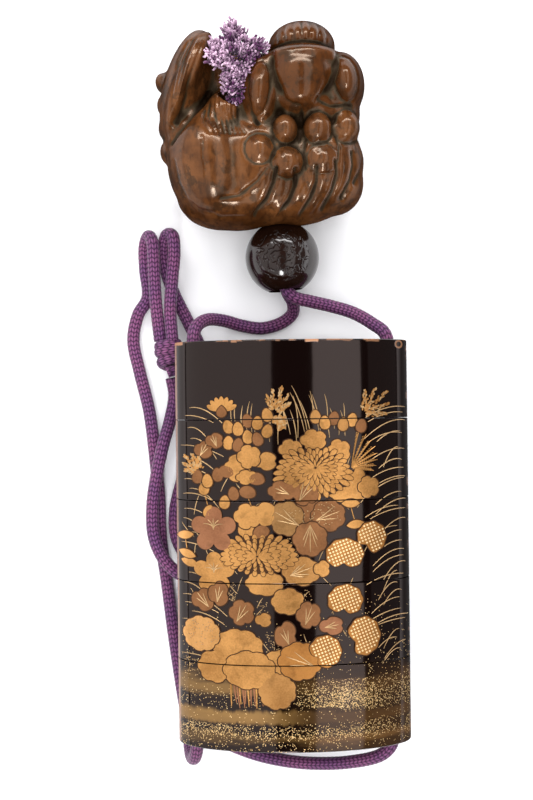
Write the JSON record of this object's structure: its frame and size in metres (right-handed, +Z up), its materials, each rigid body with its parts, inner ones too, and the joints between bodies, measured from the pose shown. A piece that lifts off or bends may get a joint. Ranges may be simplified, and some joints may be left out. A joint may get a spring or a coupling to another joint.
{
  "type": "inro case with cord, ojime and netsuke",
  "caption": "Flattened oval lacquer case of nested trays under a lid, strung on a silk cord with a round bead and a carved wooden toggle.",
  "frame": {"origin": "bottom centre of the box round case, bead and netsuke, on the surface that the set lies on", "axes": "+Y from the base of the case to the netsuke, +X to the right of the picture side, +Z up out of the picture side"},
  "size_m": [0.0643, 0.1709, 0.029],
  "materials": {
    "lacquer": "polished black lacquer over wood, with gold and copper powder pictures",
    "bead": "dark polished, shallow engraving",
    "carved_wood": "worn and polished brown wood, dark in the recesses",
    "silk": "braided purple silk"
  },
  "bodies": {
    "root": {"lid": "lacquer", "tray_1": "lacquer", "tray_2": "lacquer", "tray_3": "lacquer", "base_tray": "lacquer", "ojime_bead": "bead", "netsuke": "carved_wood", "cord_right": "silk", "cord_left": "silk", "cord_bow_loop": "silk", "cord_knot": "silk", "cord_tuft": "silk"}
  },
  "joints": []
}
